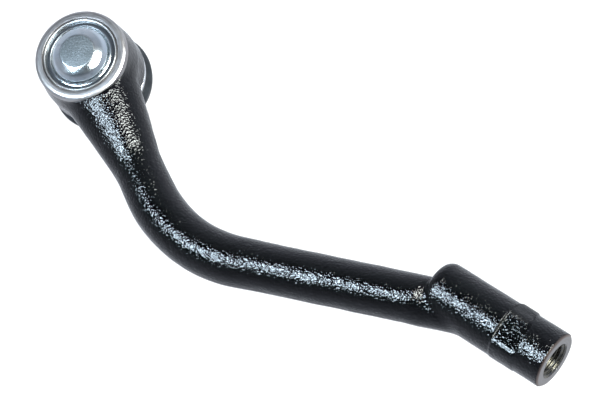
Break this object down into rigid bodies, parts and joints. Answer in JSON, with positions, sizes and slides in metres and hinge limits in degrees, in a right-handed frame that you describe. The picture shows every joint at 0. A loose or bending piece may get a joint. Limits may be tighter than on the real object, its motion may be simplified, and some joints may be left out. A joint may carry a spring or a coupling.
{
  "type": "tie rod end",
  "caption": "Outer steering tie rod end: cranked forged arm with a female-threaded sleeve, and a sealed ball joint with a tapered, threaded stud under a rubber boot.",
  "frame": {"origin": "mouth of the threaded sleeve, on the thread's axis", "axes": "+X along the thread, out of the sleeve's mouth, +Z along the stud's axis from the ball towards the cover plate, so the stud points down, +Y across the arm, on the inside of its bend"},
  "size_m": [0.2416, 0.0652, 0.0786],
  "materials": {
    "coated_forging": "glossy black coating over a grainy forged surface, bare turned steel at the rim and the sleeve's mouth",
    "zinc_plated_cover": "bright zinc plate, slightly blue",
    "spring_steel": "oiled spring steel",
    "seat_plastic": "natural acetal",
    "stud_steel": "ground and polished ball, turned taper and rolled thread",
    "boot_rubber": "smooth black chloroprene",
    "bright_steel": "bright zinc plate"
  },
  "bodies": {
    "housing": {"arm_forging": "coated_forging", "cover_plate": "zinc_plated_cover", "preload_spring": "spring_steel", "boot_clamp_ring": "bright_steel"},
    "seats": {"upper_seat": "seat_plastic", "lower_seat": "seat_plastic", "dust_boot": "boot_rubber"},
    "boot_foot": {"boot_foot_clip": "bright_steel"},
    "stud": {"ball_stud": "stud_steel"}
  },
  "joints": [
    {"name": "seat_turn", "type": "hinge", "parent": "housing", "child": "seats", "pos_m": [-0.2216, 0, 0], "axis": [0, 0, 1], "continuous": true},
    {"name": "stud_tilt", "type": "hinge", "parent": "seats", "child": "boot_foot", "pos_m": [-0.2216, 0, 0], "axis": [0, 1, 0], "range_deg": [-24, 24], "deforming": ["dust_boot"]},
    {"name": "stud_spin", "type": "hinge", "parent": "boot_foot", "child": "stud", "pos_m": [-0.2216, 0, 0], "axis": [0, 0, 1], "continuous": true}
  ]
}
